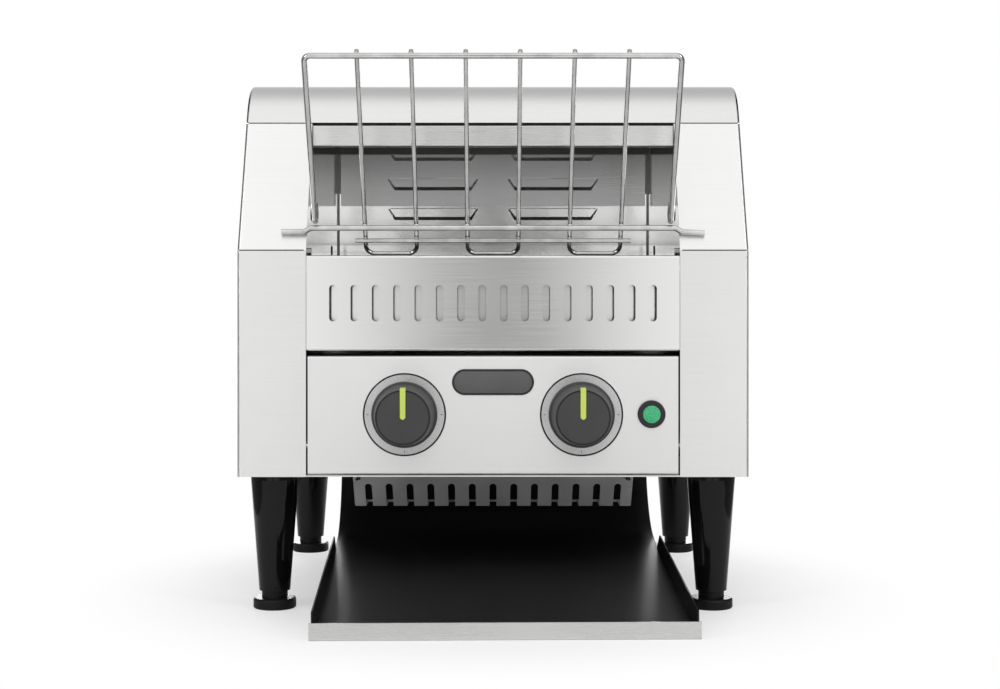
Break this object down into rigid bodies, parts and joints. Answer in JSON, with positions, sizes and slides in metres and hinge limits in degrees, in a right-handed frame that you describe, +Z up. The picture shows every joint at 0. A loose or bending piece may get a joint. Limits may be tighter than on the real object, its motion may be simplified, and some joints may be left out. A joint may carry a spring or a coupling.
{
  "type": "conveyor toaster",
  "caption": "Counter-top steel conveyor toaster with a wire loading rack, heat and speed knobs, slotted front, tapered legs and a toast slide under the housing.",
  "frame": {"origin": "on the floor under the middle of the bounding box", "axes": "+X to the right seen from the front, +Y to the back, +Z up"},
  "size_m": [0.368, 0.418, 0.3974],
  "materials": {
    "cover_steel": "satin brushed",
    "panel_steel": "horizontal brushed",
    "chamber_steel": "bright, heat exposed",
    "dark_steel": "heat stained",
    "dial_steel": "radial brushed",
    "wire_steel": "polished",
    "belt_steel": "drawn wire",
    "shaft_steel": "turned",
    "slide_coating": "satin non-stick coating",
    "knob_plastic": "fine texture",
    "pointer_plastic": "satin",
    "badge_plastic": "gloss",
    "bezel_plastic": "gloss",
    "lens_plastic": "clear green",
    "leg_plastic": "gloss moulded",
    "foot_plastic": "moulded",
    "bush_bronze": "sintered",
    "quartz_glass": "frosted",
    "steatite": "matt",
    "motor_metal": "die cast",
    "switch_plastic": "moulded",
    "board_laminate": "laminate",
    "terminal_plastic": "moulded",
    "fan_plastic": "moulded",
    "screw_steel": "zinc plated"
  },
  "bodies": {
    "chassis": {"base_pan": "cover_steel", "left_inner_wall": "chamber_steel", "right_inner_wall": "chamber_steel", "left_side_cover": "cover_steel", "right_side_cover": "cover_steel", "top_cover": "cover_steel", "mouth_lintel": "panel_steel", "back_cover": "cover_steel", "louvred_rear_plate": "chamber_steel", "rear_deflector": "chamber_steel", "slotted_front_panel": "panel_steel", "front_heat_shield": "chamber_steel", "control_panel": "panel_steel", "badge_plate": "badge_plastic", "dial_plates": "dial_steel", "lamp_bezel": "bezel_plastic", "lamp_lens": "lens_plastic", "lower_guard": "panel_steel", "slide_hangers": "cover_steel", "upper_reflector": "dark_steel", "lower_reflector": "chamber_steel", "heater_tubes": "quartz_glass", "heater_end_caps": "steatite", "conveyor_belt": "belt_steel", "shaft_bushes": "bush_bronze", "drive_chain": "shaft_steel", "motor_bracket": "cover_steel", "gear_motor": "motor_metal", "selector_switch": "switch_plastic", "speed_regulator": "board_laminate", "terminal_block": "terminal_plastic", "cable_gland": "fan_plastic", "fan_frame": "fan_plastic", "legs": "leg_plastic", "leg_bolts": "screw_steel", "back_screws": "screw_steel", "chamber_screws": "screw_steel"},
    "front_belt_shaft": {"front_shaft": "shaft_steel", "front_sprockets": "shaft_steel"},
    "drive_belt_shaft": {"drive_shaft": "shaft_steel", "drive_sprockets": "shaft_steel", "shaft_chain_wheel": "shaft_steel"},
    "motor_output": {"motor_shaft": "shaft_steel", "motor_chain_wheel": "shaft_steel"},
    "heat_control": {"heat_knob": "knob_plastic", "heat_knob_pointer": "pointer_plastic", "heat_spindle": "shaft_steel"},
    "speed_control": {"speed_knob": "knob_plastic", "speed_knob_pointer": "pointer_plastic", "speed_spindle": "shaft_steel"},
    "loading_rack": {"rack_frame": "wire_steel", "rack_rods": "wire_steel", "rack_bars": "wire_steel"},
    "slide": {"toast_slide": "slide_coating", "slide_lip": "panel_steel"},
    "fan": {"fan_rotor": "fan_plastic"},
    "front_left_foot": {"foot_front_left": "foot_plastic"},
    "front_right_foot": {"foot_front_right": "foot_plastic"},
    "rear_left_foot": {"foot_rear_left": "foot_plastic"},
    "rear_right_foot": {"foot_rear_right": "foot_plastic"}
  },
  "joints": [
    {"name": "drive_shaft_turn", "type": "hinge", "parent": "chassis", "child": "drive_belt_shaft", "pos_m": [0, 0.0915, 0.23], "axis": [1, 0, 0], "continuous": true},
    {"name": "front_shaft_turn", "type": "hinge", "parent": "chassis", "child": "front_belt_shaft", "pos_m": [0, -0.079, 0.23], "axis": [1, 0, 0], "continuous": true},
    {"name": "motor_output_turn", "type": "hinge", "parent": "chassis", "child": "motor_output", "pos_m": [0.1475, 0.0915, 0.1538], "axis": [1, 0, 0], "continuous": true},
    {"name": "heat_knob_turn", "type": "hinge", "parent": "chassis", "child": "heat_control", "pos_m": [-0.0636, -0.115, 0.1434], "axis": [0, 1, 0], "range_deg": [0, 270]},
    {"name": "speed_knob_turn", "type": "hinge", "parent": "chassis", "child": "speed_control", "pos_m": [0.0636, -0.115, 0.1434], "axis": [0, 1, 0], "range_deg": [-150, 150]},
    {"name": "rack_lift_off", "type": "slide", "parent": "chassis", "child": "loading_rack", "axis": [0, -0.5762, 0.8173], "range_m": [0, 0.12]},
    {"name": "toast_slide_out", "type": "slide", "parent": "chassis", "child": "slide", "axis": [-0.0215, 0.9998, 0], "range_m": [0, 0.3]},
    {"name": "fan_turn", "type": "hinge", "parent": "chassis", "child": "fan", "pos_m": [-0.06, 0.195, 0.15], "axis": [0, 1, 0], "continuous": true},
    {"name": "front_left_foot_height", "type": "slide", "parent": "chassis", "child": "front_left_foot", "axis": [0, 0, 1], "range_m": [-0.012, 0.004]},
    {"name": "front_right_foot_height", "type": "slide", "parent": "chassis", "child": "front_right_foot", "axis": [0, 0, 1], "range_m": [-0.012, 0.004]},
    {"name": "rear_left_foot_height", "type": "slide", "parent": "chassis", "child": "rear_left_foot", "axis": [0, 0, 1], "range_m": [-0.012, 0.004]},
    {"name": "rear_right_foot_height", "type": "slide", "parent": "chassis", "child": "rear_right_foot", "axis": [0, 0, 1], "range_m": [-0.012, 0.004]}
  ],
  "couplings": [
    {"joint": "front_shaft_turn", "follows": "drive_shaft_turn", "ratio": 1},
    {"joint": "motor_output_turn", "follows": "drive_shaft_turn", "ratio": 1}
  ]
}
